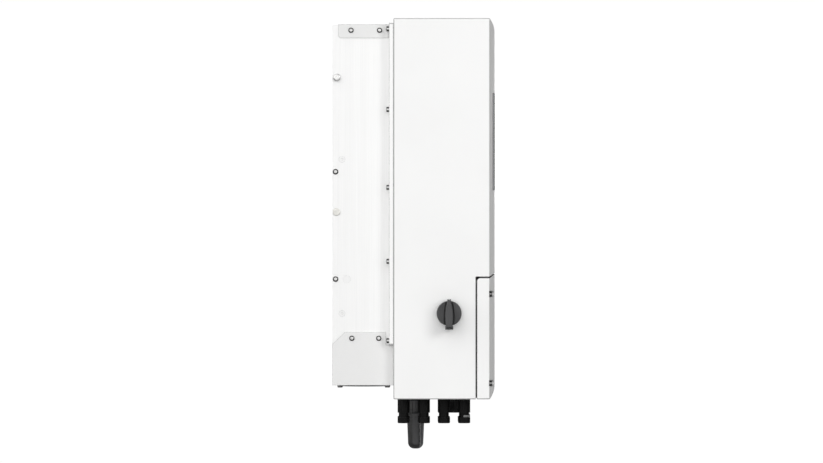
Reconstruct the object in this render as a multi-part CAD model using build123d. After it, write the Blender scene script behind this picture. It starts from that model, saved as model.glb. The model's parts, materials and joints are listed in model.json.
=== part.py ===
from build123d import *
import math
import os

# Wall-hung string inverter. Millimetres, +Z up, front towards -Y.
# The wall plane is y = 0 and the origin is the centre of the four wall bolts,
# which is also the middle of the casing's width and height.

# ---------------------------------------------------------------- driving dimensions
CASE_HALF_W = 322.5
CASE_HALF_H = 286.0
CASE_REAR = -91.7
CASE_FRONT = -243.9
CROWN_RUN = 22.5
CROWN_DROP = 7.9
WALL = 4.0
RIM = 6.0
EDGE_R = 2.0

PARTITION_TOP = -92.0
PARTITION_BOTTOM = -97.0
REAR_OPENING_HALF_W = 305.0
REAR_OPENING_TOP = 264.0
REAR_OPENING_BOTTOM = -186.0

COVER_JOINT_Y = -216.2
COVER_TOP_Z = -103.0
COVER_FRONT_TOP_Z = -97.5
SEAM = 2.0
COVER_WALL = 5.0
COVER_SCREW_X = 314.0
COVER_SCREW_Z = (-128.0, -262.0)
COVER_POCKET_Y = -235.5

BAND_HALF_W = 314.0
BAND_Z = (28.0, 173.6)
BAND_RECESS = 2.0
BAND_PROUD = 0.8
LCD = (48.0, 22.0)
LCD_Z = 100.0
LIGHT_X = (-90.0, -106.0, -122.0, -138.0)
LIGHT_R = 2.5

BASE_REAR = -85.2
BASE_TOP = 279.0
BASE_BOTTOM = -204.8
FIN_TIP = -21.5
FIN_Z = (-188.0, 256.0)
FIN_HALF_W = 288.0
FIN_PITCH = 9.0
FIN_THICK = 2.2

SIDE_INNER = 304.0
SIDE_OUTER = 306.0
SIDE_TOP = 275.85
SIDE_BOTTOM = -263.7
SHEET = 1.5

RAIL_Z = (150.0, -150.0)
RAIL_HALF_LENGTH = 285.0
RAIL_THICK = 2.5
RAIL_CROWN = 24.0
RAIL_FOOT = 38.0
WALL_BOLT_X = 250.0
WALL_BOLT_R = 4.5

TRAY_BOTTOM = -265.3
TRAY_OUTER = 307.5
FAN_X = (-220.0, 0.0, 220.0)
FAN_Y = -46.8
FAN_SIZE = 80.0
FAN_DEPTH = 38.0
FAN_HOLE = 35.75
FAN_BORE_R = 38.5
FAN_TIP_R = 37.8

SWITCH_Y = -175.3
SWITCH_Z = -156.9
SHAFT_R = 5.0
RUNNING_GAP = 0.05

SOCKET_X = (-283.0, -255.0, -227.0, -199.0)
SOCKET_Y = (-107.1, -137.6, -167.8, -198.2)
SOCKET_R = 9.3
SOCKET_END = -306.8
CAP_NECK_END = -314.3
CAP_END = -322.8

STICK_X = -100.0
STICK_Y = -125.3
STICK_TOP = -312.3
STICK_BOTTOM = -366.4
STICK_TAPER = 2.4
STICK_FOOT_R = 9.4
STICK_DEPTH = 27.1
STICK_WIDTH = 50.0
COM_X, COM_Y = -20.0, -184.0
AC_X, AC_Y = 200.0, -186.0


# ---------------------------------------------------------------- helpers
def block(x0, x1, y0, y1, z0, z1):
    """Box between two corners."""
    size = Box(abs(x1 - x0), abs(y1 - y0), abs(z1 - z0))
    return Pos((x0 + x1) / 2, (y0 + y1) / 2, (z0 + z1) / 2) * size


def rod_x(r, x0, x1, y, z):
    """Cylinder along X."""
    return Pos((x0 + x1) / 2, y, z) * Rot(0, 90, 0) * Cylinder(r, abs(x1 - x0))


def rod_y(r, x, y0, y1, z):
    """Cylinder along Y."""
    return Pos(x, (y0 + y1) / 2, z) * Rot(90, 0, 0) * Cylinder(r, abs(y1 - y0))


def rod_z(r, x, y, z0, z1):
    """Cylinder along Z."""
    return Pos(x, y, (z0 + z1) / 2) * Cylinder(r, abs(z1 - z0))


def hex_y(r, x, y0, y1, z):
    """Hexagonal prism along Y, r across the corners."""
    face = Plane.XZ * Pos(x, z) * RegularPolygon(r, 6)
    return Pos(0, max(y0, y1), 0) * extrude(face, abs(y1 - y0))


def hex_z(r, x, y, z0, z1):
    """Hexagonal prism along Z, r across the corners."""
    face = Pos(x, y, min(z0, z1)) * RegularPolygon(r, 6)
    return extrude(face, abs(z1 - z0))


def side_prism(points, x0, x1):
    """Polygon of (y, z) points extruded along X."""
    face = Plane.YZ * make_face(Polyline(*points, close=True))
    return Pos(min(x0, x1), 0, 0) * extrude(face, abs(x1 - x0))


def fuse(shapes):
    """Union of a list of shapes."""
    result = shapes[0]
    for shape in shapes[1:]:
        result = result + shape
    return result


def cut(body, shapes):
    """Body less every shape in the list."""
    for shape in shapes:
        body = body - shape
    return body


def both_sides(make):
    """The same piece on the left and on the right."""
    piece = make()
    return [piece, mirror(piece, Plane.YZ)]


def save(name, *shapes):
    """Write one node, made of one or more separate solids."""
    solids = []
    for shape in shapes:
        solids.extend(shape.solids())
    export_step(Compound(solids), f"parts/{name}.step")


# ---------------------------------------------------------------- casing
def crown_profile(half, front, rear):
    """Flat box profile with shallow arcs at the two front corners."""
    lines = [
        Line((-half + CROWN_RUN, front), (half - CROWN_RUN, front)),
        TangentArc((half - CROWN_RUN, front), (half, front + CROWN_DROP), tangent=(1, 0)),
        Line((half, front + CROWN_DROP), (half, rear)),
        Line((half, rear), (-half, rear)),
        Line((-half, rear), (-half, front + CROWN_DROP)),
        TangentArc((-half + CROWN_RUN, front), (-half, front + CROWN_DROP), tangent=(-1, 0)),
    ]
    return make_face(lines)


def crowned_hull(inset, rear):
    """Casing outline moved in by the inset, crowned on all four front edges."""
    half_w = CASE_HALF_W - inset
    half_h = CASE_HALF_H - inset
    front = CASE_FRONT + inset
    plan = Pos(0, 0, -half_h) * extrude(crown_profile(half_w, front, rear), 2 * half_h)
    side_lines = [
        Line((front, -half_h + CROWN_RUN), (front, half_h - CROWN_RUN)),
        TangentArc((front, half_h - CROWN_RUN), (front + CROWN_DROP, half_h), tangent=(0, 1)),
        Line((front + CROWN_DROP, half_h), (rear, half_h)),
        Line((rear, half_h), (rear, -half_h)),
        Line((rear, -half_h), (front + CROWN_DROP, -half_h)),
        TangentArc((front, -half_h + CROWN_RUN), (front + CROWN_DROP, -half_h), tangent=(0, -1)),
    ]
    side = Pos(-half_w, 0, 0) * extrude(Plane.YZ * make_face(side_lines), 2 * half_w)
    return plan & side


def soft_hull():
    """Casing outline with its upright side edges, end edges and corners eased."""
    hull = crowned_hull(0, CASE_REAR)
    upright = hull.edges().filter_by(Axis.Z)
    upright = upright.filter_by(lambda e: abs(abs(e.center().X) - CASE_HALF_W) < 0.1)
    level = hull.edges().filter_by(Axis.X)
    level = level.filter_by(lambda e: abs(abs(e.center().Z) - CASE_HALF_H) < 0.1)
    return fillet(upright + level + hull.edges().filter_by(Axis.Y), EDGE_R)


def cover_zone(gap, corner):
    """Lower front region taken by the wiring cover, seen from the side."""
    joint = COVER_JOINT_Y + (gap / 2)
    top = COVER_TOP_Z + (gap / 2)
    front_top = COVER_FRONT_TOP_Z + (gap / 2)
    crown_start = CASE_FRONT + CROWN_DROP
    lines = Polyline(
        (joint, -CASE_HALF_H - 10),
        (joint, top),
        (crown_start, top),
        (CASE_FRONT + 0.6, front_top),
        (CASE_FRONT - 10, front_top),
        (CASE_FRONT - 10, -CASE_HALF_H - 10),
        close=True,
    )
    face = make_face(lines)
    if corner:
        vertex = face.vertices().sort_by(lambda v: abs(v.X - joint) + abs(v.Y - top))[0]
        face = fillet(vertex, corner)
    zone = extrude(Plane.YZ * face, 2 * CASE_HALF_W + 20)
    return Pos(-CASE_HALF_W - 10, 0, 0) * zone


def band_shape(shift_out, shift_in):
    """Slice of the casing's front skin between two depths, over the display band."""
    outer = crown_profile(CASE_HALF_W, CASE_FRONT - shift_out, CASE_REAR)
    inner = crown_profile(CASE_HALF_W, CASE_FRONT + shift_in, CASE_REAR)
    window = Pos(0, (CASE_FRONT + CASE_REAR) / 2) * Rectangle(2 * BAND_HALF_W, 400)
    skin = (outer - inner) & window
    return Pos(0, 0, BAND_Z[0]) * extrude(skin, BAND_Z[1] - BAND_Z[0])


SIDE_SCREW_Z = (270.0, 149.0, 32.0, -79.0, -198.0)
ROW_SCREW_X = (-220.0, -75.0, 75.0, 220.0)
SHELL_SCREWS = [(x, z) for x in (-314.5, 314.5) for z in SIDE_SCREW_Z]
SHELL_SCREWS += [(x, z) for x in ROW_SCREW_X for z in (271.5, -198.0)]
COVER_SCREWS = [(x, z) for x in (-COVER_SCREW_X, COVER_SCREW_X) for z in COVER_SCREW_Z]
BOARD_POSTS = [(x, z) for x in (-62.0, 62.0) for z in (72.0, 128.0)]
GROMMETS = (-200.0, -120.0, 120.0, 200.0)
GROMMET_Y = -150.0
SOCKETS = [(x, y) for x in SOCKET_X for y in SOCKET_Y]
INNER_FRONT = CASE_FRONT + WALL


def gasket_ring(width_half, low, high, band, y0, y1):
    """Rectangular ring in an XZ plane."""
    outer = block(-width_half, width_half, y0, y1, low, high)
    inner = block(-width_half + band, width_half - band, y0 + 1, y1 - 1, low + band, high - band)
    return outer - inner


def front_shell():
    shell = soft_hull()
    rear_face = CASE_REAR - RIM
    upper = crowned_hull(WALL, rear_face) & block(-400, 400, rear_face, -300, PARTITION_TOP, 300)
    lower = block(-318.5, 318.5, rear_face, -208.5, -282, PARTITION_BOTTOM)
    shell = shell - cover_zone(SEAM, 0) - upper - lower
    half = REAR_OPENING_HALF_W
    shell = shell - block(-half, half, CASE_REAR + 1, rear_face, PARTITION_TOP, REAR_OPENING_TOP)
    shell = shell - block(-half, half, CASE_REAR + 1, rear_face, REAR_OPENING_BOTTOM, PARTITION_BOTTOM)
    shell = shell - block(-310, 310, -208.5, -216, -274, -112)
    bosses = [rod_y(6.5, x, -203, COVER_JOINT_Y + SEAM / 2, z) for x, z in COVER_SCREWS]
    posts = [rod_y(4, x, INNER_FRONT - 1, -233.9, z) for x, z in BOARD_POSTS]
    shell = fuse([shell] + bosses + posts)
    holes = [rod_y(2.55, x, -204.5, -217, z) for x, z in COVER_SCREWS]
    holes += [rod_y(2.05, x, CASE_REAR + 1, rear_face - 0.5, z) for x, z in SHELL_SCREWS]
    holes += [rod_y(1.25, x, -239, -233, z) for x, z in BOARD_POSTS]
    holes += [rod_y(LIGHT_R + 0.05, x, CASE_FRONT - 2, INNER_FRONT + 1, LCD_Z) for x in LIGHT_X]
    holes += [rod_z(7.05, x, y, -290, -280) for x, y in SOCKETS]
    holes += [rod_z(12.0, x, GROMMET_Y, PARTITION_BOTTOM - 1, PARTITION_TOP + 1) for x in GROMMETS]
    holes.append(block(-LCD[0], LCD[0], CASE_FRONT - 1, INNER_FRONT + 1, LCD_Z - LCD[1], LCD_Z + LCD[1]))
    holes.append(band_shape(2.0, BAND_RECESS))
    holes.append(rod_x(11.05, -330, -310, SWITCH_Y, SWITCH_Z))
    holes.append(rod_z(11.05, STICK_X, STICK_Y, -290, -280))
    holes.append(rod_z(12.05, COM_X, COM_Y, -290, -280))
    holes.append(rod_z(16.05, AC_X, AC_Y, -290, -280))
    holes.append(rod_z(6.05, 80, -190, -290, -280))
    holes.append(rod_x(4.05, 310, 330, -150, -262))
    holes.append(gasket_ring(311, -191.5, 269, 3, CASE_REAR + 1, CASE_REAR - 2.5))
    return cut(shell, holes)


def wiring_cover():
    rear = COVER_JOINT_Y - SEAM / 2
    shell = soft_hull() & cover_zone(-SEAM, 5.0)
    hollow = crowned_hull(COVER_WALL, rear + 2) & block(-400, 400, rear + 1, -300, -400, -109)
    shell = shell - hollow
    bosses = [rod_y(7.0, x, rear, CASE_FRONT, z) for x, z in COVER_SCREWS]
    shell = fuse([shell] + [boss & crowned_hull(0.2, rear) for boss in bosses])
    holes = [rod_y(2.75, x, rear + 1, CASE_FRONT - 1, z) for x, z in COVER_SCREWS]
    holes += [rod_y(4.6, x, COVER_POCKET_Y, CASE_FRONT - 1, z) for x, z in COVER_SCREWS]
    for x, z in COVER_SCREWS:
        side = math.copysign(CASE_HALF_W + 2, x)
        holes.append(block(x, side, COVER_POCKET_Y, CASE_FRONT - 1, z - 4.6, z + 4.6))
    return cut(shell, holes)


def cover_screw(x, z):
    top = COVER_POCKET_Y - 4.4
    head = rod_y(4.0, x, COVER_POCKET_Y, top, z)
    head = fillet(head.edges().filter_by(GeomType.CIRCLE).sort_by(Axis.Y)[0], 1.0)
    socket = hex_y(2.3, x, top - 1, top + 2.4, z)
    return head + rod_y(2.5, x, COVER_POCKET_Y - 0.2, -205.5, z) - socket


def wiring_seal():
    y0 = COVER_JOINT_Y + SEAM / 2
    return gasket_ring(320.2, -283.8, -105.4, 2.6, y0, COVER_JOINT_Y - SEAM / 2 + 0.04)


def build_casing():
    save("front_shell", front_shell())
    save("wiring_cover", wiring_cover())
    save("wiring_cover_screws", *[cover_screw(x, z) for x, z in COVER_SCREWS])
    save("wiring_seal", wiring_seal())
    save("base_gasket", gasket_ring(310.95, -191.45, 268.95, 2.9, CASE_REAR, CASE_REAR - 2.45))
    rings = []
    for x in GROMMETS:
        ring = rod_z(11.95, x, GROMMET_Y, PARTITION_BOTTOM, PARTITION_TOP)
        ring = ring + rod_z(15, x, GROMMET_Y, PARTITION_TOP, PARTITION_TOP + 2)
        ring = ring + rod_z(15, x, GROMMET_Y, PARTITION_BOTTOM, PARTITION_BOTTOM - 2)
        rings.append(ring - rod_z(9, x, GROMMET_Y, -120, -60))
    save("partition_grommets", *rings)


def build_display():
    band = band_shape(BAND_PROUD, BAND_RECESS - 0.02)
    window = block(-LCD[0], LCD[0], -260, -200, LCD_Z - LCD[1], LCD_Z + LCD[1])
    holes = [rod_y(LIGHT_R + 0.05, x, -260, -200, LCD_Z) for x in LIGHT_X]
    save("display_band", cut(band, [window] + holes))
    glass = block(-47.9, 47.9, CASE_FRONT - 0.4, -235.6, LCD_Z - 21.9, LCD_Z + 21.9)
    save("display_lcd", fillet(glass.edges().filter_by(Axis.Y), 1.5))
    lights = []
    for x in LIGHT_X:
        pipe = rod_y(LIGHT_R, x, CASE_FRONT - 1.0, -235.6, LCD_Z)
        lights.append(fillet(pipe.edges().filter_by(GeomType.CIRCLE).sort_by(Axis.Y)[0], 0.6))
    save("indicator_lights", *lights)
    board = block(-150, 70, -233.9, -232.3, 64, 136)
    chip = block(-30, 30, -232.3, -229.3, 80, 120)
    carrier = block(-47, 47, -235.6, -233.9, LCD_Z - 21, LCD_Z + 21)
    holes = [rod_y(1.3, x, -236, -230, z) for x, z in BOARD_POSTS]
    save("display_board", cut(board + chip + carrier, holes))


# ---------------------------------------------------------------- heat sink and duct
def heatsink():
    base = block(-CASE_HALF_W, CASE_HALF_W, BASE_REAR, CASE_REAR, BASE_BOTTOM, BASE_TOP)
    base = fillet(base.edges().filter_by(Axis.Y), 3.0)
    count = int(2 * FIN_HALF_W / FIN_PITCH) + 1
    fins = []
    for i in range(count):
        x = -FIN_HALF_W + i * FIN_PITCH
        fins.append(block(x - FIN_THICK / 2, x + FIN_THICK / 2, FIN_TIP, BASE_REAR - 1, *FIN_Z))
    sink = base + fins
    holes = [rod_y(2.3, x, -80, -95, z) for x, z in SHELL_SCREWS]
    holes += [rod_y(2.05, x, -80, -90, z) for x, z in side_flange_screws()]
    return cut(sink, holes)


def side_flange_screws():
    return [(x, z) for x in (-300.5, 300.5) for z in (-150.0, 45.0, 230.0)]


PEG = (-6.8, 197.2)
PLUG = (-6.2, -4.8)
PAN = ((-4.8, 55.6), (-4.85, -105.7))
FLUSH = ((-14.5, 74.2), (-14.5, -157.4))
CLIP = (-21.7, -106.1)
TRAY_SCREWS = ((-29.3, -194.6), (-69.7, -194.6))
BRACKET_SCREWS = ((-28.0, 268.1), (-70.9, 268.1))


def duct_side():
    plate = block(-SIDE_OUTER, -SIDE_INNER, 0, BASE_REAR, SIDE_BOTTOM, SIDE_TOP)
    flange = block(-SIDE_INNER - 1, -297.5, BASE_REAR + 2, BASE_REAR, *FIN_Z)
    body = plate + flange
    holes = [rod_x(3.02, -310, -300, *PEG), rod_x(4.02, -310, -300, *PLUG)]
    holes += [rod_x(2.05, -310, -300, y, z) for y, z in PAN + TRAY_SCREWS + BRACKET_SCREWS]
    holes += [flush_screw(y, z, 0.03) for y, z in FLUSH]
    holes.append(rod_x(4.02, -310, -300, *CLIP))
    holes.append(rod_x(6.02, -310, -SIDE_OUTER + 0.8, *CLIP))
    holes += [rod_y(2.2, x, -80, -90, z) for x, z in side_flange_screws()]
    return cut(body, holes)


def flush_screw(y, z, gap):
    """Countersunk screw in the left side plate."""
    profile = Polyline(
        (0, 0),
        (4.75 + gap, 0),
        (2.5 + gap, 2.0),
        (2.5 + gap, 14.0),
        (0, 14.0),
        close=True,
    )
    screw = revolve(make_face(profile), Axis.Y)
    return Pos(-SIDE_OUTER, y, z) * Rot(0, 0, -90) * screw


def countersunk_screw(y, z):
    screw = flush_screw(y, z, 0)
    recess = rod_x(1.6, -SIDE_OUTER - 1, -SIDE_OUTER + 1.2, y, z)
    return screw - recess


def headed_screw_x(r, head_r, head_h, seat, tip, y, z):
    """Button-headed screw along X on the left side, with a shallow cross recess."""
    crown_r = 0.42 * head_r
    lines = [
        Line((0, 0), (head_r, 0)),
        Line((head_r, 0), (head_r, 0.25 * head_h)),
        ThreePointArc((head_r, 0.25 * head_h), (0.82 * head_r, 0.72 * head_h), (crown_r, head_h)),
        Line((crown_r, head_h), (0, head_h)),
        Line((0, head_h), (0, 0)),
    ]
    head = Pos(seat, y, z) * Rot(0, 0, 90) * revolve(make_face(lines), Axis.Y)
    floor = seat - head_h + 0.5
    recess = block(seat - head_h - 1, floor, y - 0.4, y + 0.4, z - 1.5, z + 1.5)
    recess = recess + block(seat - head_h - 1, floor, y - 1.5, y + 1.5, z - 0.4, z + 0.4)
    return head + rod_x(r, seat - 0.1, tip, y, z) - recess


def clinch_nut(seat, y, z):
    return rod_x(3.1, seat, seat + 2.2, y, z) - rod_x(2.05, seat - 1, seat + 4, y, z)


def rear_cover():
    web = block(-SIDE_INNER, SIDE_INNER, -8, -9.5, -186, 256)
    flange = block(-SIDE_INNER, -SIDE_INNER + SHEET, -0.5, -9.5, -186, 256)
    body = fuse([web, flange, mirror(flange, Plane.YZ)])
    holes = []
    for y, z, r in [(*PEG, 3.02), (*PLUG, 4.02)] + [(y, z, 2.05) for y, z in PAN]:
        holes.append(rod_x(r, -310, 310, y, z))
    clear = block(-320, -SIDE_INNER + SHEET, 5, -12, -300, 300)
    clear = clear + mirror(clear, Plane.YZ)
    holes = [hole & clear for hole in holes]
    holes += [rod_y(2.05, x, -5, -12, z) for x, z in rivet_places()]
    return cut(body, holes)


def rivet_places():
    offsets = (31.0, -31.0)
    return [(x, c + o) for c in RAIL_Z for o in offsets for x in (-240.0, -80.0, 80.0, 240.0)]


def hanger_rail(centre):
    foot_y = -8.0
    points = [
        (foot_y, RAIL_FOOT),
        (foot_y + RAIL_THICK, RAIL_FOOT),
        (foot_y + RAIL_THICK, RAIL_CROWN),
        (0, RAIL_CROWN - 3),
        (0, -RAIL_CROWN + 3),
        (foot_y + RAIL_THICK, -RAIL_CROWN),
        (foot_y + RAIL_THICK, -RAIL_FOOT),
        (foot_y, -RAIL_FOOT),
        (foot_y, -RAIL_CROWN + RAIL_THICK),
        (-RAIL_THICK, -RAIL_CROWN + 3 + RAIL_THICK),
        (-RAIL_THICK, RAIL_CROWN - 3 - RAIL_THICK),
        (foot_y, RAIL_CROWN - RAIL_THICK),
    ]
    rail = side_prism([(y, z + centre) for y, z in points], -RAIL_HALF_LENGTH, RAIL_HALF_LENGTH)
    holes = [rod_y(WALL_BOLT_R, x, 1, -5, centre) for x in (-WALL_BOLT_X, WALL_BOLT_X)]
    holes += [rod_y(2.05, x, 1, -12, z) for x, z in rivet_places() if abs(z - centre) < 40]
    return cut(rail, holes)


def rail_nut(x, z):
    nut = hex_y(7.5, x, -RAIL_THICK, -7.9, z)
    return nut - rod_y(4.05, x, 0, -10, z)


def rivet(x, z):
    head = rod_y(3.8, x, -5.5, -4.3, z)
    tail = rod_y(3.2, x, -9.5, -11.0, z)
    return head + rod_y(2.0, x, -5.4, -9.6, z) + tail


def peg():
    head = rod_x(5.75, -SIDE_OUTER - 5, -SIDE_OUTER, *PEG)
    head = fillet(head.edges().filter_by(GeomType.CIRCLE).sort_by(Axis.X)[0], 2.2)
    return head + rod_x(3.0, -SIDE_OUTER - 0.1, -SIDE_INNER + SHEET, *PEG)


def plug():
    head = rod_x(5.75, -SIDE_OUTER - 1.6, -SIDE_OUTER, *PLUG)
    head = fillet(head.edges().filter_by(GeomType.CIRCLE).sort_by(Axis.X)[0], 0.9)
    return head + rod_x(4.0, -SIDE_OUTER - 0.1, -SIDE_INNER + SHEET, *PLUG)


def clip_stud():
    disc = rod_x(6.0, -SIDE_OUTER + 0.02, -SIDE_OUTER + 0.8, *CLIP)
    return disc + rod_x(4.0, -SIDE_OUTER + 0.7, -SIDE_INNER, *CLIP) + rod_x(3.0, -304.1, -296, *CLIP)


def outlet_bracket():
    top_z = 277.1
    outer = TRAY_OUTER - 0.3
    top = block(-outer, outer, -8.75, -85.0, top_z - 1.2, top_z)
    flap = block(-outer, -SIDE_OUTER, -8.75, -85.0, 256.5, top_z)
    low = flap.edges().filter_by(Axis.X).sort_by(lambda e: -e.center().Y + e.center().Z)[0]
    flap = fillet(low, 5.0)
    body = fuse([top, flap, mirror(flap, Plane.YZ)])
    slots = []
    for i in range(9):
        for j in range(4):
            x = -256 + i * 64
            y = -22 - j * 16
            slots.append(Pos(x, y, top_z) * extrude(SlotOverall(54, 8), 3, both=True))
    holes = [rod_x(2.05, -320, -SIDE_OUTER + 0.5, y, z) for y, z in BRACKET_SCREWS]
    holes += [rod_x(2.05, SIDE_OUTER - 0.5, 320, y, z) for y, z in BRACKET_SCREWS]
    return cut(body, slots + holes)


def fan_tray():
    rear = -0.1
    front = CASE_REAR + 0.1
    sheet = block(-TRAY_OUTER, TRAY_OUTER, rear, front, TRAY_BOTTOM, TRAY_BOTTOM + SHEET)
    points = [
        (rear, TRAY_BOTTOM),
        (rear, -203.6),
        (-19.2, -185.2),
        (-80.5, -185.2),
        (-80.5, -205.1),
        (front, -205.1),
        (front, TRAY_BOTTOM),
    ]
    flap = side_prism(points, -TRAY_OUTER, -SIDE_OUTER)
    back = block(-303.9, 303.9, rear, rear - SHEET, TRAY_BOTTOM + 0.5, -188.5)
    body = fuse([sheet, flap, mirror(flap, Plane.YZ), back])
    holes = []
    for x in FAN_X:
        holes.append(rod_z(FAN_BORE_R, x, FAN_Y, TRAY_BOTTOM - 1, TRAY_BOTTOM + 3))
        for dx, dy in fan_holes():
            holes.append(rod_z(2.05, x + dx, FAN_Y + dy, TRAY_BOTTOM - 1, TRAY_BOTTOM + 3))
    holes += [rod_x(2.05, -320, -SIDE_OUTER + 0.5, y, z) for y, z in TRAY_SCREWS]
    holes += [rod_x(2.05, SIDE_OUTER - 0.5, 320, y, z) for y, z in TRAY_SCREWS]
    return cut(body, holes)


def build_duct():
    save("heatsink", heatsink())
    left = duct_side()
    save("duct_side_left", left)
    save("duct_side_right", mirror(left, Plane.YZ))
    save("duct_rear_cover", rear_cover())
    save("hanger_rails", *[hanger_rail(z) for z in RAIL_Z])
    save("duct_rivets", *[rivet(x, z) for x, z in rivet_places()])
    save("hanging_pegs", *both_sides(peg))
    save("handle_hole_plugs", *both_sides(plug))
    pans = [headed_screw_x(2.0, 4.2, 2.6, -SIDE_OUTER, -298, y, z) for y, z in PAN]
    pans += [headed_screw_x(2.0, 4.0, 2.4, -TRAY_OUTER + 0.3, -300, y, z) for y, z in BRACKET_SCREWS]
    pans += [headed_screw_x(2.0, 4.0, 2.4, -TRAY_OUTER, -300, y, z) for y, z in TRAY_SCREWS]
    save("duct_screws", *pans, *[mirror(s, Plane.YZ) for s in pans])
    flush = [countersunk_screw(y, z) for y, z in FLUSH]
    flush.append(clip_stud())
    save("flush_fasteners", *flush, *[mirror(s, Plane.YZ) for s in flush])
    braces = []
    for y, z in FLUSH:
        brace = rod_x(4.4, -SIDE_INNER, SIDE_INNER, y, z)
        ends = rod_x(2.53, -310, -285, y, z) + rod_x(2.53, 285, 310, y, z)
        braces.append(brace - ends)
    save("cross_braces", *braces)
    nuts = [clinch_nut(-SIDE_INNER, y, z) for y, z in TRAY_SCREWS + BRACKET_SCREWS]
    nuts += [clinch_nut(-SIDE_INNER + SHEET, y, z) for y, z in PAN]
    weld_nuts = [rail_nut(x, z) for x in (-WALL_BOLT_X, WALL_BOLT_X) for z in RAIL_Z]
    save("duct_captive_nuts", *nuts, *[mirror(n, Plane.YZ) for n in nuts], *weld_nuts)
    save("top_outlet_bracket", outlet_bracket())
    save("fan_tray", fan_tray())
    flange = [flange_screw(x, z) for x, z in side_flange_screws()]
    save("shell_screws", *[shell_screw(x, z) for x, z in SHELL_SCREWS], *flange)


def shell_screw(x, z):
    head = rod_y(4.0, x, BASE_REAR, BASE_REAR + 4, z)
    head = fillet(head.edges().filter_by(GeomType.CIRCLE).sort_by(Axis.Y)[-1], 1.0)
    socket = hex_y(2.0, x, BASE_REAR + 1.8, BASE_REAR + 5, z)
    return head + rod_y(2.0, x, BASE_REAR + 0.1, CASE_REAR - RIM, z) - socket


def flange_screw(x, z):
    head = rod_y(3.2, x, BASE_REAR + 2, BASE_REAR + 4.2, z)
    return head + rod_y(2.0, x, BASE_REAR + 2.1, -89.8, z)


# ---------------------------------------------------------------- fans
def fan_holes():
    return [(dx, dy) for dx in (-FAN_HOLE, FAN_HOLE) for dy in (-FAN_HOLE, FAN_HOLE)]


FAN_LOW = TRAY_BOTTOM + SHEET
FAN_HIGH = FAN_LOW + FAN_DEPTH
HUB_R = 18.0
MOTOR_TOP = FAN_HIGH - 10.0


def fan_frame():
    frame = block(-FAN_SIZE / 2, FAN_SIZE / 2, -FAN_SIZE / 2, FAN_SIZE / 2, FAN_LOW, FAN_HIGH)
    frame = fillet(frame.edges().filter_by(Axis.Z), 5.0)
    frame = frame - rod_z(FAN_BORE_R, 0, 0, FAN_LOW - 1, FAN_HIGH + 1)
    waist = block(-50, 50, -50, 50, FAN_LOW + 5, FAN_HIGH - 5) - rod_z(41.5, 0, 0, FAN_LOW, FAN_HIGH)
    lugs = [rod_z(5.2, dx, dy, FAN_LOW, FAN_HIGH) for dx, dy in fan_holes()]
    tube = rod_z(FAN_BORE_R + 1.4, 0, 0, FAN_LOW, FAN_HIGH) - rod_z(FAN_BORE_R, 0, 0, FAN_LOW, FAN_HIGH)
    clip = block(-40, 40, -40, 40, FAN_LOW, FAN_HIGH)
    frame = frame - waist + (fuse(lugs) & clip) + (tube & clip)
    spokes = [Rot(0, 0, 45 + 90 * i) * block(15, 39.5, -2, 2, FAN_LOW, FAN_LOW + 3.5) for i in range(4)]
    plate = rod_z(17, 0, 0, FAN_LOW, FAN_LOW + 3.5)
    motor = rod_z(13.5, 0, 0, FAN_LOW + 3, MOTOR_TOP)
    frame = fuse([frame, plate, motor] + spokes)
    frame = frame - rod_z(1.5 + RUNNING_GAP, 0, 0, FAN_LOW + 6, MOTOR_TOP + 1)
    return cut(frame, [rod_z(2.05, dx, dy, FAN_LOW - 1, FAN_HIGH + 1) for dx, dy in fan_holes()])


def fan_impeller():
    low = FAN_LOW + 5.0
    high = FAN_HIGH - 4.0
    hub = rod_z(HUB_R, 0, 0, low, high)
    hub = fillet(hub.edges().filter_by(GeomType.CIRCLE).sort_by(Axis.Z)[-1], 2.5)
    hub = hub - rod_z(15.5, 0, 0, low - 1, high - 3)
    blades = []
    for i in range(7):
        blade = Pos(27, 0, 0) * Rot(52, 0, 0) * Box(24, 1.6, 34)
        blades.append(Rot(0, 0, i * 360 / 7) * Pos(0, 0, (low + high) / 2) * blade)
    ring = rod_z(FAN_TIP_R, 0, 0, low + 1.5, high - 2) - rod_z(16.5, 0, 0, low, high)
    pin = rod_z(1.5, 0, 0, FAN_LOW + 7, high - 2)
    return fuse([hub, pin] + [blade & ring for blade in blades])


def fan_guard():
    wire = 0.8
    spoke_z = TRAY_BOTTOM - wire - 0.05
    ring_z = spoke_z - 1.3
    reach = FAN_HOLE * math.sqrt(2) - 3.5
    parts = [Rot(0, 0, 45 + 90 * i) * rod_x(wire, 0, reach, 0, spoke_z) for i in range(4)]
    parts += [Pos(0, 0, ring_z) * Torus(r, wire) for r in (10.0, 19.0, 28.0, 36.5)]
    eyes = [rod_z(4.4, dx, dy, spoke_z - wire, TRAY_BOTTOM) for dx, dy in fan_holes()]
    guard = fuse(parts + eyes)
    return cut(guard, [rod_z(2.05, dx, dy, -280, -260) for dx, dy in fan_holes()])


def fan_screw(x, y):
    seat = TRAY_BOTTOM - 1.65
    head = rod_z(4.0, x, y, seat - 2.8, seat)
    head = fillet(head.edges().filter_by(GeomType.CIRCLE).sort_by(Axis.Z)[0], 1.2)
    return head + rod_z(2.0, x, y, seat - 0.1, FAN_HIGH)


def build_fans():
    frame = fan_frame()
    impeller = fan_impeller()
    guard = fan_guard()
    save("fan_frames", *[Pos(x, FAN_Y, 0) * frame for x in FAN_X])
    for i, x in enumerate(FAN_X, 1):
        save(f"fan_impeller_{i}", Pos(x, FAN_Y, 0) * impeller)
    save("fan_guards", *[Pos(x, FAN_Y, 0) * guard for x in FAN_X])
    screws = [fan_screw(x + dx, FAN_Y + dy) for x in FAN_X for dx, dy in fan_holes()]
    save("fan_screws", *screws)


# ---------------------------------------------------------------- DC isolator
KNOB_IN = -325.6
KNOB_DISC = -334.0
KNOB_OUT = -354.5
KNOB_GROOVE = 5.5


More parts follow.
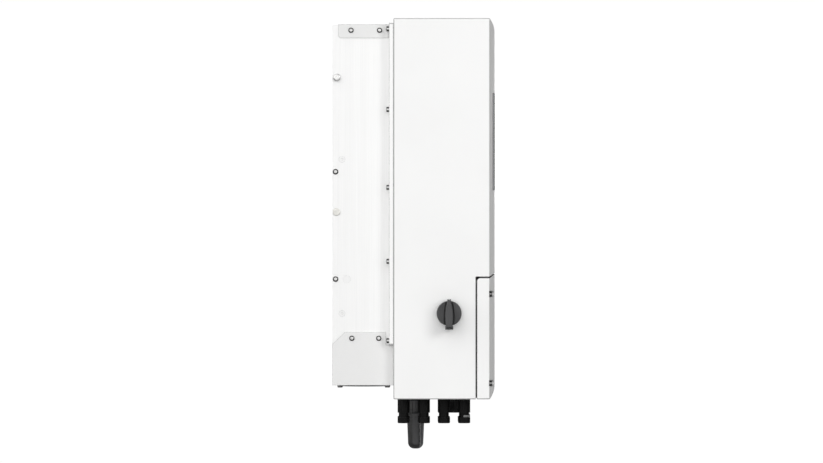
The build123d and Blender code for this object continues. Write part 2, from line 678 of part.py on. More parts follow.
def knob_outline():
    """Front view of the grip: notched pointer on top, square lock end below."""
    lines = [
        Line((-2.8, 21.2), (-0.8, 21.2)),
        Line((-0.8, 21.2), (0, 19.4)),
        Line((0, 19.4), (0.8, 21.2)),
        Line((0.8, 21.2), (2.8, 21.2)),
        Line((2.8, 21.2), (2.8, 17.0)),
        ThreePointArc((2.8, 17.0), (5.4, 2.0), (4.6, -18.4)),
        Line((4.6, -18.4), (6.0, -19.2)),
        Line((6.0, -19.2), (6.0, -24.0)),
        Line((6.0, -24.0), (-6.0, -24.0)),
        Line((-6.0, -24.0), (-6.0, -19.2)),
        Line((-6.0, -19.2), (-4.6, -18.4)),
        ThreePointArc((-4.6, -18.4), (-5.4, 2.0), (-2.8, 17.0)),
        Line((-2.8, 17.0), (-2.8, 21.2)),
    ]
    return make_face(lines)


def knob():
    disc = rod_x(18.75, KNOB_DISC, KNOB_IN, 0, 0)
    rim = disc.edges().filter_by(GeomType.CIRCLE).sort_by(Axis.X)[0]
    disc = fillet(rim, 1.2)
    outline = knob_outline()
    moat = Plane.YZ * offset(outline, 2.4)
    disc = disc - Pos(KNOB_DISC - 1, 0, 0) * extrude(moat, 1 + KNOB_GROOVE)
    grip = Pos(KNOB_OUT, 0, 0) * extrude(Plane.YZ * outline, KNOB_IN - KNOB_OUT - 1.5)
    top = grip.faces().sort_by(Axis.X)[0]
    grip = chamfer(top.edges(), 0.8)
    grip = grip - block(KNOB_OUT - 1, KNOB_OUT + 4, -3.8, 3.8, -22.9, -20.4)
    body = disc + grip
    return Pos(0, SWITCH_Y, SWITCH_Z) * (body - rod_x(SHAFT_R + 0.02, -347, KNOB_IN + 1, 0, 0))


def switch_body():
    parts = [block(-318.4, -306, -26, 26, -26, 26)]
    for i in range(4):
        x = -306 + i * 14
        parts.append(block(x, x + 12.5, -23, 23, -23, 23))
        parts.append(block(x + 2, x + 10, -27, 27, -14, 14))
    parts.append(block(-306.5, -252, -17, 17, -17, 17))
    body = fuse(parts) - rod_x(SHAFT_R + RUNNING_GAP, -320, -268, 0, 0)
    return Pos(0, SWITCH_Y, SWITCH_Z) * body


def build_switch():
    save("dc_switch_knob", knob())
    shaft = rod_x(SHAFT_R, -346.5, -269, SWITCH_Y, SWITCH_Z)
    save("dc_switch_shaft", shaft)
    bezel = rod_x(17.5, -325.0, -323.5, SWITCH_Y, SWITCH_Z)
    bezel = bezel + rod_x(11.0, -323.6, -318.5, SWITCH_Y, SWITCH_Z)
    save("dc_switch_bezel", bezel - rod_x(SHAFT_R + RUNNING_GAP, -330, -310, SWITCH_Y, SWITCH_Z))
    seal = rod_x(16.8, -323.5, -322.5, SWITCH_Y, SWITCH_Z) - rod_x(11.1, -330, -310, SWITCH_Y, SWITCH_Z)
    save("dc_switch_seal", seal)
    save("dc_switch_body", switch_body())


# ---------------------------------------------------------------- DC sockets and caps
def ribbed(core, ribs, tip, low, high, width):
    """Round body with lengthwise ridges."""
    body = rod_z(core, 0, 0, low, high)
    ridge = block(core - 1, tip, -width / 2, width / 2, low, high)
    shape = fuse([body] + [Rot(0, 0, i * 360 / ribs) * ridge for i in range(ribs)])
    return shape & rod_z(tip - 0.03, 0, 0, low, high)


def socket(keyed):
    body = ribbed(8.7, 10, SOCKET_R, SOCKET_END, -287.6, 2.4)
    washer = rod_z(SOCKET_R, 0, 0, -287.6, -286)
    tail = rod_z(7.0, 0, 0, -286.1, -262)
    key = block(-1.2, 1.2, 6.5, 8.0, -286, -268) if keyed else block(6.5, 8.0, -1.2, 1.2, -274, -268)
    boss = Pos(-8.9, 0, -292.5) * Rot(0, 90, 0) * Cylinder(1.4, 0.8)
    shape = fuse([body, washer, tail, boss]) & rod_z(SOCKET_R + 0.3, 0, 0, SOCKET_END, -262)
    key = key & rod_z(7.0, 0, 0, -300, -262)
    return shape + key - rod_z(5.05, 0, 0, SOCKET_END - 1, -292)


def socket_nut():
    return hex_z(10.7, 0, 0, -282, -276) - rod_z(7.03, 0, 0, -283, -275)


def dust_cap():
    neck = rod_z(7.4, 0, 0, CAP_NECK_END - 0.1, SOCKET_END)
    collar = ribbed(8.8, 10, SOCKET_R, CAP_END, CAP_NECK_END, 2.6)
    skirt = rod_z(SOCKET_R, 0, 0, CAP_END, CAP_NECK_END)
    bottom = skirt.edges().filter_by(GeomType.CIRCLE).sort_by(Axis.Z)[0]
    collar = collar & fillet(bottom, 1.8)
    pin = rod_z(5.0, 0, 0, SOCKET_END - 0.1, -296)
    return fuse([neck, collar, pin])


def cap_tab():
    """Pale release tab clipped round the neck of a front-row cap."""
    ring = rod_z(9.0, 0, 0, CAP_NECK_END + 0.8, CAP_NECK_END + 3.8) - rod_z(7.45, 0, 0, -320, -305)
    return ring & block(-12, 12, -12, 1, -330, -300)


def build_sockets():
    plus = socket(True)
    minus = socket(False)
    nut = socket_nut()
    cap = dust_cap()
    tab = cap_tab()
    sockets = [Pos(x, y, 0) * plus for x in SOCKET_X[0::2] for y in SOCKET_Y]
    sockets += [Pos(x, y, 0) * minus for x in SOCKET_X[1::2] for y in SOCKET_Y]
    save("dc_sockets", *sockets)
    save("dc_socket_nuts", *[Pos(x, y, 0) * nut for x, y in SOCKETS])
    save("dc_dust_caps", *[Pos(x, y, 0) * cap for x, y in SOCKETS])
    save("dust_cap_tabs", *[Pos(x, SOCKET_Y[3], 0) * tab for x in SOCKET_X])


# ---------------------------------------------------------------- ports on the bottom
def stick_solid(inset):
    """Flattened stick, drawn in towards a rounded foot."""
    top = STICK_TOP - inset
    section = RectangleRounded(STICK_WIDTH - 2 * inset, STICK_DEPTH - 2 * inset, 12.5 - inset)
    length = top - STICK_BOTTOM - inset
    solid = extrude(Pos(0, 0, top) * section, -length, taper=STICK_TAPER)
    foot = solid.faces().sort_by(Axis.Z)[0]
    return fillet(foot.edges(), STICK_FOOT_R - inset)


def build_stick():
    outer = stick_solid(0)
    hollow = stick_solid(2.0)
    seam = -6.7
    rear = (outer - hollow) & block(-50, 50, seam, 50, -400, -300)
    front = (outer - hollow) & block(-50, 50, -50, seam - 0.15, -400, -300)
    neck_hole = rod_z(9.02, 0, 0, STICK_TOP - 3, STICK_TOP + 1)
    place = Pos(STICK_X, STICK_Y, 0)
    save("stick_shell_rear", place * (rear - neck_hole))
    save("stick_shell_front", place * (front - neck_hole))
    board = block(-20, 20, 3, 4.6, STICK_BOTTOM + 6, STICK_TOP - 3.1)
    board = board + block(-6, 6, 3, 4.6, -330, STICK_TOP - 2.5) + block(-12, 12, 4.5, 6.6, -350, -330)
    plug_body = rod_z(9.0, 0, 0, STICK_TOP - 3, -290) + rod_z(11.0, 0, 0, STICK_TOP, -304)
    pins = [rod_z(0.8, 4.5 * math.cos(a), 4.5 * math.sin(a), -290.1, -287) for a in (0, 1.57, 3.14, 4.71)]
    save("stick_plug", place * fuse([plug_body, board] + pins))
    ring = ribbed(15.6, 14, 16.5, STICK_TOP + 0.3, -293, 3.5)
    ring = ring - rod_z(13.1, 0, 0, -303.8, -290) - rod_z(11.05, 0, 0, -320, -300)
    save("stick_lock_ring", place * ring)
    flange = rod_z(17.5, 0, 0, -286, -290) + rod_z(13.0, 0, 0, -289.9, -302)
    flange = flange + rod_z(11.0, 0, 0, -286.1, -274)
    bore = rod_z(9.0 + RUNNING_GAP, 0, 0, -303, -284)
    save("stick_port", place * (flange - bore))


def gland(x, y, thread, body_r, body_low, dome_r, dome_low, cable_r):
    """Cable gland: body, dome nut, seal and inside lock nut."""
    place = Pos(x, y, 0)
    body = hex_z(body_r, 0, 0, -286, body_low) & rod_z(body_r - 0.6, 0, 0, -286, body_low)
    body = body + rod_z(thread, 0, 0, -286.1, -270) + rod_z(dome_r - 3, 0, 0, body_low + 0.1, dome_low + 8)
    body = body - rod_z(cable_r + 2.5, 0, 0, -400, -260)
    dome = ribbed(dome_r - 0.8, 12, dome_r, dome_low, body_low - 0.2, 2.8)
    skirt = rod_z(dome_r, 0, 0, dome_low, body_low)
    rim = skirt.edges().filter_by(GeomType.CIRCLE).sort_by(Axis.Z)[0]
    dome = dome & fillet(rim, dome_r * 0.28)
    dome = dome - rod_z(dome_r - 2.97, 0, 0, dome_low + 7.8, body_low + 1)
    dome = dome - rod_z(cable_r + 2.5, 0, 0, dome_low - 1, body_low + 1)
    seal = rod_z(cable_r + 2.48, 0, 0, dome_low + 1, body_low + 10) - rod_z(cable_r, 0, 0, -400, -260)
    return [place * piece for piece in (body, dome, seal)]


def port_nut(x, y, thread, across):
    return Pos(x, y, 0) * (hex_z(across, 0, 0, -282, -276) - rod_z(thread + 0.03, 0, 0, -290, -270))


def build_ports():
    com = gland(COM_X, COM_Y, 12.0, 17.6, -296.0, 16.5, -313.7, 6.0)
    grid = gland(AC_X, AC_Y, 16.0, 22.5, -299.0, 21.5, -318.0, 10.0)
    save("gland_bodies", com[0], grid[0])
    save("gland_dome_nuts", com[1], grid[1])
    save("gland_seals", com[2], grid[2])
    nuts = [port_nut(COM_X, COM_Y, 12.0, 18.0), port_nut(AC_X, AC_Y, 16.0, 21.0)]
    nuts.append(port_nut(STICK_X, STICK_Y, 11.0, 16.5))
    save("port_locknuts", *nuts)
    valve = rod_z(9, 80, -190, -286, -292) + rod_z(6, 80, -190, -286.1, -277)
    top = valve.edges().filter_by(GeomType.CIRCLE).sort_by(Axis.Z)[0]
    save("breather_valve", fillet(top, 1.5) - rod_z(2, 80, -190, -288, -270))
    stud = rod_x(4.0, 313, 334, -150, -262)
    washer = rod_x(8.0, 322.5, 324.1, -150, -262)
    hexes = Pos(324.1, -150, -262) * extrude(Plane.YZ * RegularPolygon(7.5, 6), 5.5)
    save("earth_terminal", fuse([stud, washer, hexes]))


# ---------------------------------------------------------------- inside the casing
POWER_STANDOFFS = [(x, z) for x in (-270.0, 0.0, 270.0) for z in (-10.0, 190.0)]
CONTROL_STANDOFFS = [(x, z) for x in (-112.0, 112.0) for z in (50.0, 160.0)]
CAP_X = [-252.0 + 56.0 * i for i in range(10)]


def build_inside():
    rear = CASE_REAR
    board_rear = -119.7
    board_front = -121.7
    posts = [rod_y(4, x, rear, board_rear, z) for x, z in POWER_STANDOFFS]
    posts += [rod_y(3, x, board_front, -188.7, z) for x, z in CONTROL_STANDOFFS]
    save("board_standoffs", *posts)
    save("power_board", block(-284, 284, board_rear, board_front, -20, 200))
    modules = []
    for x in (-180.0, 0.0, 180.0):
        body = block(x - 55, x + 55, rear, -109, 40, 104)
        pins = [rod_y(0.9, x + dx, -108.9, board_rear, z) for dx in (-45, -15, 15, 45) for z in (48, 96)]
        modules.append(fuse([body] + pins))
    save("power_modules", *modules)
    save("dc_link_capacitors", *[rod_y(17, x, board_front, -171.7, 150) for x in CAP_X])
    relays = [block(x - 15, x + 15, board_front, -146.7, 5, 25) for x in (-125, -75, -25, 25, 75, 125)]
    save("output_relays", *relays)
    cans = []
    for i in range(6):
        x = -240 + 96 * i
        can = block(x - 42, x + 42, rear, -166, -86, -28)
        cans.append(fillet(can.edges().filter_by(Axis.Y), 4.0))
    save("boost_inductors", *cans)
    control = block(-122, 122, -188.7, -190.3, 38, 172)
    chips = [block(x - 14, x + 14, -190.2, -193.3, z - 14, z + 14) for x in (-60, 0, 60) for z in (80, 130)]
    save("control_board", fuse([control] + chips))
    block_body = block(120, 280, -97.7, -142.7, -252, -214)
    slots = [block(x - 12, x + 12, -125, -150, -246, -213) for x in (144, 172, 200, 228, 256)]
    studs = [rod_y(3, x, -124, -137, -234) for x in (144, 172, 200, 228, 256)]
    save("ac_terminal_block", fuse([cut(block_body, slots)] + studs))
    arresters = [block(x - 8.8, x + 8.8, rear, -150, -180, -122) for x in (-54, -36, -18, 0, 18, 36)]
    save("surge_protectors", *arresters)


build_casing()
build_display()
build_duct()
build_fans()
build_switch()
build_sockets()
build_stick()
build_ports()
build_inside()
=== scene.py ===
import json
import math

import bpy
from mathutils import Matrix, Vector


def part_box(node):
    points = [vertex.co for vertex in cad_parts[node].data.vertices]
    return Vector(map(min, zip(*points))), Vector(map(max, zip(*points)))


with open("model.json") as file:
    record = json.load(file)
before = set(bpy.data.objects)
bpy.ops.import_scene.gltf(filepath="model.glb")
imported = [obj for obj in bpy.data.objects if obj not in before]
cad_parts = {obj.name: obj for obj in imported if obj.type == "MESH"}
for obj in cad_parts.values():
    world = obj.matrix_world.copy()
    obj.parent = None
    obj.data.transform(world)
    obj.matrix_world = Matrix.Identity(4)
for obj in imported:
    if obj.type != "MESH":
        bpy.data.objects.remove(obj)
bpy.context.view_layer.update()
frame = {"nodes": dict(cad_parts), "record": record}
NODES = frame["nodes"]

# ---------------------------------------------------------------- camera, in metres and mm of lens
CASE_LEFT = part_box("front_shell")[0][0]
PHOTO_LENS = 300.0
PHOTO_SENSOR = 36.0
NEAR_PLANE_WIDTH = 1.2345     # width of the picture at the casing's left side
AIM_Y = -0.1189
AIM_Z = -0.0342
VIEW_LIMIT = 60.0

# ---------------------------------------------------------------- surroundings
WORLD_BASE = 0.40             # strength as light where the lean adds nothing
WORLD_LEAN = (-0.98, 0.95, 0.08)
WORLD_LEAST = 0.03
BACKDROP_STRENGTH = 1.02      # just over 1, so that the backdrop is seen as pure white
FLOOR_Z = -1.15
FLOOR_REACH = 14.0
FLOOR_GREY = (0.55, 0.55, 0.55, 1)
FLOOR_ROUGHNESS = 0.9
WHITE = (1.0, 1.0, 1.0, 1.0)

# ---------------------------------------------------------------- lights: place, aim, side, watts
LIGHTS = {
    "key": ((-2.9, -2.3, 0.9), (0, -0.12, -0.1), 1.3, 36),
    "right": ((3.2, -0.4, 0.9), (0, -0.12, 0), 2.2, 40),
    "front_right": ((2.2, -3.2, 0.8), (0, -0.12, 0), 2.0, 18),
}

# ---------------------------------------------------------------- surface relief, depths in metres
PEEL_DEPTH = 0.00005
STREAK_DEPTH = 0.000012
SCRATCH_DEPTH = 0.00001
SPARK_DEPTH = 0.00004
POLISH_DEPTH = 0.000006
TRACE_DEPTH = 0.00005

# ---------------------------------------------------------------- noise scales, per metre
PAINT_CLOUD = 6.0
PAINT_SHEEN = 40.0
FLECK = 900.0
PEEL = 520.0
STAIN = 220.0
SCRATCH = 2600.0
PLASTIC_CLOUD = 35.0
PLASTIC_SHEEN = 90.0
SPARK = 1500.0
DUST = 700.0
SMEAR = 12.0
POLISH = 60.0
TRACE = 160.0
SOLDER = 420.0
BOARD_SHEEN = 200.0
WIDE_STREAK = 0.08            # scale of the broad streaks against the fine ones

# ---------------------------------------------------------------- edges: radii in metres
PAINT_EDGE = 0.0018
BRUSHED_EDGE = 0.0004
MACHINED_EDGE = 0.0003
MOULDED_EDGE = 0.0004
GLOSSY_EDGE = 0.0006
EDGE_SAMPLES = 4
EDGE_FLAT = 0.99              # cosine between rounded and true normal where an edge starts
EDGE_FULL = 0.80              # and where it is at its strongest

# ---------------------------------------------------------------- shades of the own colour; the lean and rim shades are painted shade
LEAN_PAINTED_SHADE = 0.62             # painted shade where the paint leans a little away from the axes
RIM_PAINTED_SHADE = 0.34              # painted shade on an edge or a steep lean, drawn as a dark outline
WORN_SHADE = 1.12             # machined edge
MIX_A, MIX_B, MIX_COLOUR = 6, 7, 2     # the Mix node's sockets for colour

# ---------------------------------------------------------------- fixed colours
DUST_COLOUR = (0.35, 0.35, 0.36)
SOLDER_COLOUR = (0.45, 0.40, 0.26)
FILM_COLOUR = (0.02, 0.17, 0.08, 1)
FILM_LIT_COLOUR = (0.03, 0.21, 0.10, 1)
TRACE_COLOUR = (0.08, 0.30, 0.13, 1)


# ---------------------------------------------------------------- node helpers
def is_socket(value):
    return isinstance(value, bpy.types.NodeSocket)


def add_node(tree, kind, **inputs):
    """A node with inputs set by name; an underscore stands for the space in a name."""
    node = tree.nodes.new(kind)
    for name, value in inputs.items():
        node.inputs[name.replace("_", " ")].default_value = value
    return node


def operate(tree, kind, operation, *operands):
    """A maths node; each operand is a socket to link or a value to set."""
    node = tree.nodes.new(kind)
    node.operation = operation
    for slot, operand in zip(node.inputs, operands):
        if is_socket(operand):
            tree.links.new(operand, slot)
        else:
            slot.default_value = operand
    return node


def mix_shaders(tree, fac, first, second):
    node = tree.nodes.new("ShaderNodeMixShader")
    for socket, slot in zip((fac, first, second), node.inputs):
        tree.links.new(socket, slot)
    return node.outputs[0]


# ---------------------------------------------------------------- stage
def add_camera():
    """Level with the left side and far off, as the photo's near-parallel lines ask."""
    data = bpy.data.cameras.new("camera")
    data.lens = PHOTO_LENS
    data.sensor_width = PHOTO_SENSOR
    data.clip_end = VIEW_LIMIT
    data.dof.use_dof = False
    camera = bpy.data.objects.new("camera", data)
    bpy.context.collection.objects.link(camera)
    distance = NEAR_PLANE_WIDTH * PHOTO_LENS / PHOTO_SENSOR
    camera.location = (CASE_LEFT - distance, AIM_Y, AIM_Z)
    camera.rotation_euler = (math.radians(90), 0, math.radians(-90))
    bpy.context.scene.camera = camera


def add_lights():
    for name, (place, aim, side, watts) in LIGHTS.items():
        data = bpy.data.lights.new(name, "AREA")
        data.shape = "RECTANGLE"
        data.size = side
        data.size_y = side
        data.energy = watts
        light = bpy.data.objects.new(name, data)
        bpy.context.collection.objects.link(light)
        light.location = place
        turn = (Vector(aim) - Vector(place)).to_track_quat("-Z", "Y")
        light.rotation_euler = turn.to_euler()


def add_world():
    """White to the camera; as light, brighter from the left and rear than from the front."""
    world = bpy.data.worlds.new("studio")
    bpy.context.scene.world = world
    world.use_nodes = True
    tree = world.node_tree
    tree.nodes.clear()
    coords = add_node(tree, "ShaderNodeTexCoord")
    lean = operate(tree, "ShaderNodeVectorMath", "DOT_PRODUCT",
                   coords.outputs["Generated"], WORLD_LEAN)
    total = operate(tree, "ShaderNodeMath", "ADD", lean.outputs["Value"], WORLD_BASE)
    strength = operate(tree, "ShaderNodeMath", "MAXIMUM", total.outputs[0], WORLD_LEAST)
    lit = add_node(tree, "ShaderNodeBackground", Color=WHITE)
    tree.links.new(strength.outputs[0], lit.inputs["Strength"])
    seen = add_node(tree, "ShaderNodeBackground", Color=WHITE, Strength=BACKDROP_STRENGTH)
    path = add_node(tree, "ShaderNodeLightPath")
    mixed = mix_shaders(tree, path.outputs["Is Camera Ray"], lit.outputs[0], seen.outputs[0])
    out = add_node(tree, "ShaderNodeOutputWorld")
    tree.links.new(mixed, out.inputs["Surface"])


def add_floor():
    """Pale floor, white to the camera and clear when looked at from below."""
    corners = ((-1, -1), (1, -1), (1, 1), (-1, 1))
    verts = [(x * FLOOR_REACH, y * FLOOR_REACH, FLOOR_Z) for x, y in corners]
    mesh = bpy.data.meshes.new("floor")
    mesh.from_pydata(verts, [], [(0, 1, 2, 3)])
    floor = bpy.data.objects.new("floor", mesh)
    bpy.context.collection.objects.link(floor)
    material = bpy.data.materials.new("floor")
    material.use_nodes = True
    tree = material.node_tree
    shader = tree.nodes["Principled BSDF"]
    shader.inputs["Base Color"].default_value = FLOOR_GREY
    shader.inputs["Roughness"].default_value = FLOOR_ROUGHNESS
    pale = add_node(tree, "ShaderNodeEmission", Strength=BACKDROP_STRENGTH)
    path = add_node(tree, "ShaderNodeLightPath")
    top = mix_shaders(tree, path.outputs["Is Camera Ray"], shader.outputs[0], pale.outputs[0])
    side = add_node(tree, "ShaderNodeNewGeometry")
    clear = add_node(tree, "ShaderNodeBsdfTransparent")
    one_sided = mix_shaders(tree, side.outputs["Backfacing"], top, clear.outputs[0])
    tree.links.new(one_sided, tree.nodes["Material Output"].inputs["Surface"])
    mesh.materials.append(material)


# ---------------------------------------------------------------- material kit
class Kit:
    """A node material under construction, with short calls for the nodes it needs."""

    def __init__(self, name, colour=None):
        self.material = bpy.data.materials.new(name)
        self.material.use_nodes = True
        self.tree = self.material.node_tree
        self.shader = self.tree.nodes["Principled BSDF"]
        self.place = add_node(self.tree, "ShaderNodeTexCoord").outputs["Object"]
        self.colour = colour

    def link(self, socket, slot):
        self.tree.links.new(socket, slot)

    def set(self, **inputs):
        """Values that are the same all over the surface."""
        for name, value in inputs.items():
            self.shader.inputs[name.replace("_", " ")].default_value = value

    def finish(self, base, roughness, normal):
        """The three values that vary over the surface; gives the material."""
        self.link(base, self.shader.inputs["Base Color"])
        self.link(roughness, self.shader.inputs["Roughness"])
        self.link(normal, self.shader.inputs["Normal"])
        return self.material

    def stretch(self, scale):
        mapping = add_node(self.tree, "ShaderNodeMapping", Scale=scale)
        self.link(self.place, mapping.inputs["Vector"])
        return mapping.outputs[0]

    def noise(self, scale, detail=3.0, rough=0.5, vector=None):
        node = add_node(self.tree, "ShaderNodeTexNoise",
                        Scale=scale, Detail=detail, Roughness=rough)
        self.link(vector or self.place, node.inputs["Vector"])
        return node.outputs["Fac"]

    def span(self, value, low, high, to_low=0.0, to_high=1.0):
        """The value's stretch from low to high, spread over another."""
        node = add_node(self.tree, "ShaderNodeMapRange",
                        From_Min=low, From_Max=high, To_Min=to_low, To_Max=to_high)
        self.link(value, node.inputs["Value"])
        return node.outputs[0]

    def mix(self, fac, a, b):
        node = self.tree.nodes.new("ShaderNodeMix")
        node.data_type = "RGBA"
        self.link(fac, node.inputs["Factor"])
        for value, index in ((a, MIX_A), (b, MIX_B)):
            if is_socket(value):
                self.link(value, node.inputs[index])
            else:
                node.inputs[index].default_value = (*value, 1.0)
        return node.outputs[MIX_COLOUR]

    def shade(self, factor):
        """The material's own colour, made darker or lighter."""
        return tuple(max(0.0, min(1.0, value * factor)) for value in self.colour)

    def tint(self, fac, base, factor):
        """The base, moved by fac towards a shade of the material's own colour."""
        return self.mix(fac, base, self.shade(factor))

    def bump(self, height, distance, normal=None):
        node = add_node(self.tree, "ShaderNodeBump", Distance=distance, Strength=1.0)
        self.link(height, node.inputs["Height"])
        if normal:
            self.link(normal, node.inputs["Normal"])
        return node.outputs[0]

    def soft_edge(self, radius):
        node = add_node(self.tree, "ShaderNodeBevel", Radius=radius)
        node.samples = EDGE_SAMPLES
        return node.outputs[0]

    def edge_mask(self, soft):
        """1 on an edge, 0 on a flat: how far the rounded normal leans from the true one."""
        flat = add_node(self.tree, "ShaderNodeNewGeometry").outputs["Normal"]
        dot = operate(self.tree, "ShaderNodeVectorMath", "DOT_PRODUCT", flat, soft)
        return self.span(dot.outputs["Value"], EDGE_FLAT, EDGE_FULL)

    def turned_away(self, low, high):
        """0 where the surface faces along an axis, 1 where it leans well away from all three."""
        flat = add_node(self.tree, "ShaderNodeNewGeometry").outputs["Normal"]
        absolute = operate(self.tree, "ShaderNodeVectorMath", "ABSOLUTE", flat)
        parts = add_node(self.tree, "ShaderNodeSeparateXYZ")
        self.link(absolute.outputs[0], parts.inputs[0])
        first = operate(self.tree, "ShaderNodeMath", "MAXIMUM",
                        parts.outputs["X"], parts.outputs["Y"])
        largest = operate(self.tree, "ShaderNodeMath", "MAXIMUM",
                          first.outputs[0], parts.outputs["Z"])
        return self.span(largest.outputs[0], 1.0 - low, 1.0 - high)


# ---------------------------------------------------------------- kinds of material
def painted(name, colour, rough=0.42, edge=PAINT_EDGE):
    """Powder coat: orange peel, faint clouding, painted shade over edges and leaning stretches."""
    kit = Kit(name, colour)
    soft = kit.soft_edge(edge)
    mask = kit.edge_mask(soft)
    cloud = kit.span(kit.noise(PAINT_CLOUD, 4.0), 0.35, 0.65)
    base = kit.mix(cloud, kit.shade(0.985), kit.shade(1.01))
    fleck = kit.span(kit.noise(FLECK, 2.0), 0.62, 0.78, 0.0, 0.35)
    base = kit.tint(fleck, base, 0.95)
    # painted shade: a slight lean is darkened, as where the crown falls away from the light
    base = kit.tint(kit.turned_away(0.004, 0.06), base, LEAN_PAINTED_SHADE)
    # painted shade: steep leans and edges are darkened into outlines
    base = kit.tint(kit.turned_away(0.20, 0.28), base, RIM_PAINTED_SHADE)
    base = kit.tint(mask, base, RIM_PAINTED_SHADE)
    sheen = kit.span(kit.noise(PAINT_SHEEN), 0.3, 0.7, rough - 0.05, rough + 0.07)
    peel = kit.bump(kit.noise(PEEL, 2.0, 0.4), PEEL_DEPTH, soft)
    kit.set(Specular_IOR_Level=0.4)
    return kit.finish(base, sheen, peel)


def brushed(name, colour, metal, rough, streak=(900.0, 900.0, 6.0), rim=1.06):
    """Brushed metal with streaks along one axis."""
    kit = Kit(name, colour)
    soft = kit.soft_edge(BRUSHED_EDGE)
    mask = kit.edge_mask(soft)
    lines = kit.noise(1.0, 5.0, 0.7, kit.stretch(streak))
    wide_streak = tuple(scale * WIDE_STREAK for scale in streak)
    broad = kit.noise(1.0, 2.0, 0.5, kit.stretch(wide_streak))
    base = kit.mix(kit.span(lines, 0.3, 0.7), kit.shade(0.94), kit.shade(1.03))
    base = kit.tint(kit.span(broad, 0.35, 0.7, 0.0, 0.5), base, 0.95)
    # edges tinted by rim: a little lighter by default, painted shade where rim is low
    base = kit.tint(mask, base, rim)
    sheen = kit.span(lines, 0.25, 0.75, rough - 0.07, rough + 0.1)
    kit.set(Metallic=metal)
    return kit.finish(base, sheen, kit.bump(lines, STREAK_DEPTH, soft))


def machined(name, colour, rough=0.3, flank_painted_shade=0.8):
    """Small turned or plated steel: fine random scratches, bright edges, painted shade on the
    flanks.
    """
    kit = Kit(name, colour)
    soft = kit.soft_edge(MACHINED_EDGE)
    mask = kit.edge_mask(soft)
    grain = kit.noise(SCRATCH)
    stain = kit.span(kit.noise(STAIN), 0.35, 0.7)
    base = kit.mix(stain, colour, kit.shade(0.84))
    base = kit.tint(mask, base, WORN_SHADE)
    # painted shade: flanks that lean away are darkened, a dark ring round a bright middle on a
    # head
    base = kit.tint(kit.turned_away(0.01, 0.10), base, flank_painted_shade)
    sheen = kit.span(grain, 0.3, 0.7, rough - 0.06, rough + 0.12)
    kit.set(Metallic=1.0)
    return kit.finish(base, sheen, kit.bump(grain, SCRATCH_DEPTH, soft))


def moulded(name, colour, rough=0.5, lift=1.7, gloss=0.5, flank_painted_shade=None):
    """Moulded plastic: spark-eroded texture, painted highlight along edges (painted shade where
    the factor is below 1), painted shade on flanks if asked.
    """
    kit = Kit(name, colour)
    soft = kit.soft_edge(MOULDED_EDGE)
    mask = kit.edge_mask(soft)
    cloud = kit.span(kit.noise(PLASTIC_CLOUD, 4.0), 0.35, 0.65)
    base = kit.mix(cloud, kit.shade(0.88), kit.shade(1.12))
    spark = kit.span(kit.noise(SPARK, 2.0), 0.55, 0.8, 0.0, 0.3)
    base = kit.tint(spark, base, 1.5)
    # painted highlight along edges and ribs; painted shade where the factor is below 1
    base = kit.tint(mask, base, lift)
    if flank_painted_shade:
        # painted shade on flanks that lean away
        base = kit.tint(kit.turned_away(0.004, 0.10), base, flank_painted_shade)
    sheen = kit.span(kit.noise(PLASTIC_SHEEN), 0.3, 0.7, rough - 0.08, rough + 0.1)
    texture = kit.bump(kit.noise(SPARK, 2.0), SPARK_DEPTH, soft)
    kit.set(Specular_IOR_Level=gloss)
    return kit.finish(base, sheen, texture)


def glossy(name, colour, rough=0.08):
    """Hard-coated panel with faint polishing marks and dust."""
    kit = Kit(name, colour)
    soft = kit.soft_edge(GLOSSY_EDGE)
    mask = kit.edge_mask(soft)
    dust = kit.span(kit.noise(DUST), 0.66, 0.8, 0.0, 0.18)
    base = kit.mix(dust, colour, DUST_COLOUR)
    base = kit.tint(mask, base, 1.8)
    smears = kit.span(kit.noise(SMEAR, 4.0), 0.35, 0.7, rough, rough + 0.1)
    kit.set(Coat_Weight=0.6, Coat_Roughness=0.05)
    return kit.finish(base, smears, kit.bump(kit.noise(POLISH), POLISH_DEPTH, soft))


def circuit(name):
    """Solder mask over copper: blocky traces under a green film, pale specks of solder."""
    kit = Kit(name)
    brick = add_node(kit.tree, "ShaderNodeTexBrick", Scale=TRACE, Mortar_Size=0.06,
                     Color1=FILM_COLOUR, Color2=FILM_LIT_COLOUR, Mortar=TRACE_COLOUR)
    upright = add_node(kit.tree, "ShaderNodeMapping", Rotation=(math.radians(90), 0, 0))
    kit.link(kit.place, upright.inputs["Vector"])
    kit.link(upright.outputs[0], brick.inputs["Vector"])
    speck = kit.span(kit.noise(SOLDER, 2.0), 0.62, 0.68)
    base = kit.mix(speck, brick.outputs["Color"], SOLDER_COLOUR)
    sheen = kit.span(kit.noise(BOARD_SHEEN), 0.3, 0.7, 0.28, 0.42)
    return kit.finish(base, sheen, kit.bump(brick.outputs["Fac"], TRACE_DEPTH))


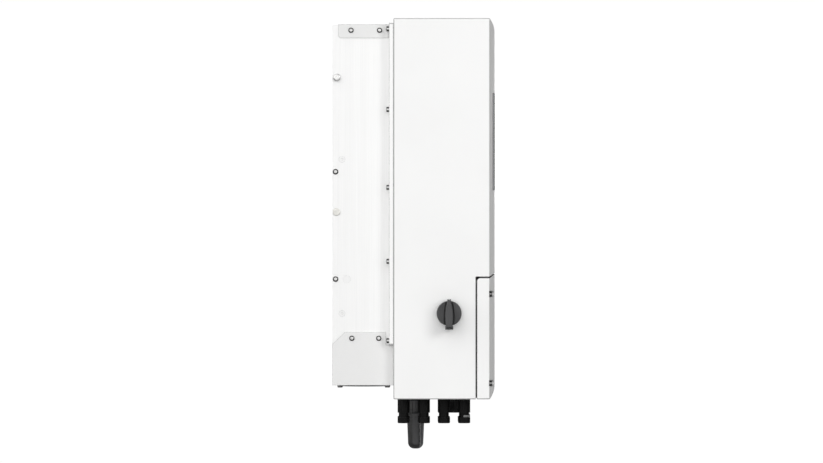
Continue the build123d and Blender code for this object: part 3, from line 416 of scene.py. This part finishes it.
# ---------------------------------------------------------------- the materials, by slot name;
# dark_screw is no slot of the record, only the look that OWN_LOOKS gives
LOOKS = {
    "case_paint": (painted, dict(colour=(0.91, 0.91, 0.905))),
    "sink_alloy": (painted, dict(colour=(0.94, 0.94, 0.935), rough=0.5)),
    "duct_alloy": (brushed, dict(colour=(0.93, 0.93, 0.925), metal=0.3, rough=0.42)),
    "sheet_grey": (painted, dict(colour=(0.80, 0.80, 0.795), rough=0.5, edge=0.0012)),
    "zinc_steel": (brushed, dict(colour=(0.66, 0.66, 0.645), metal=1.0, rough=0.38,
                                 streak=(8.0, 700.0, 700.0))),
    # screws: flank is painted shade on the sloping flanks of the heads
    "screw_steel": (machined, dict(colour=(0.78, 0.78, 0.77), flank_painted_shade=0.06)),
    # flush screws: the low rim paints shade as a dark ring round the head and its cross
    "flush_steel": (brushed, dict(colour=(0.90, 0.90, 0.895), metal=0.35, rough=0.4, rim=0.30)),
    "cover_screw_steel": (machined, dict(colour=(0.34, 0.34, 0.34), rough=0.32, flank_painted_shade=0.15)),
    "dark_screw": (machined, dict(colour=(0.20, 0.20, 0.20), rough=0.34)),
    "peg_steel": (machined, dict(colour=(0.80, 0.80, 0.79), rough=0.25)),
    "plug_metal": (machined, dict(colour=(0.82, 0.81, 0.77), rough=0.34)),
    "seal_rubber": (moulded, dict(colour=(0.022, 0.022, 0.022), rough=0.75, lift=1.3)),
    "band_gloss": (glossy, dict(colour=(0.055, 0.055, 0.06))),
    "display_glass": (glossy, dict(colour=(0.02, 0.028, 0.03), rough=0.04)),
    "lamp_lens": (glossy, dict(colour=(0.34, 0.42, 0.36), rough=0.15)),
    "circuit_board": (circuit, {}),
    # knob: the edge factor paints highlights on its edges
    "knob_plastic": (moulded, dict(colour=(0.058, 0.058, 0.060), rough=0.45, lift=1.6)),
    "switch_plastic": (moulded, dict(colour=(0.02, 0.02, 0.02), rough=0.55)),
    "shaft_steel": (machined, dict(colour=(0.60, 0.60, 0.60))),
    # sockets, caps and glands: the strong edge factor paints highlights on their ribs and edges
    "socket_plastic": (moulded, dict(colour=(0.0035, 0.0035, 0.0035), rough=0.38,
                                     lift=9.0, gloss=0.09)),
    "cap_plastic": (moulded, dict(colour=(0.004, 0.004, 0.004), rough=0.38,
                                  lift=8.0, gloss=0.09)),
    "tab_plastic": (moulded, dict(colour=(0.16, 0.16, 0.16))),
    "nut_plastic": (moulded, dict(colour=(0.02, 0.02, 0.02))),
    "gland_plastic": (moulded, dict(colour=(0.006, 0.006, 0.006), rough=0.42,
                                    lift=6.0, gloss=0.09)),
    # the stick: its edge and flank factors paint shade on its edges and flanks
    "stick_dark": (moulded, dict(colour=(0.062, 0.062, 0.064), rough=0.45,
                                 lift=0.8, flank_painted_shade=0.15)),
    "stick_grey": (moulded, dict(colour=(0.10, 0.10, 0.105), rough=0.45,
                                 lift=0.4, flank_painted_shade=0.8)),
    "plug_plastic": (moulded, dict(colour=(0.03, 0.03, 0.03))),
    "fan_plastic": (moulded, dict(colour=(0.02, 0.02, 0.021), rough=0.45)),
    "inductor_can": (painted, dict(colour=(0.30, 0.30, 0.31), rough=0.6)),
    "capacitor_can": (brushed, dict(colour=(0.60, 0.60, 0.62), metal=1.0, rough=0.3,
                                    streak=(300.0, 8.0, 300.0))),
    "relay_case": (moulded, dict(colour=(0.05, 0.10, 0.24), rough=0.4)),
    "module_case": (moulded, dict(colour=(0.18, 0.18, 0.19))),
    "terminal_case": (moulded, dict(colour=(0.30, 0.30, 0.31))),
    "standoff_brass": (machined, dict(colour=(0.72, 0.55, 0.26))),
}
MATERIALS = {name: make(name, **values) for name, (make, values) in LOOKS.items()}

# the photo shows the fans' screws and guards darker than the other screws
OWN_LOOKS = {"fan_screws": "dark_screw", "fan_guards": "dark_screw"}


def repaint():
    """Every CAD node takes the node material of its record slot, a few their own."""
    slots = {part["node"]: part["material_slot"] for part in frame["record"]["subparts"]}
    slots.update(OWN_LOOKS)
    for name, node in NODES.items():
        for place in node.material_slots:
            place.material = MATERIALS[slots[name]]


bpy.context.scene.view_settings.view_transform = "Standard"
add_camera()
add_world()
add_floor()
add_lights()
repaint()
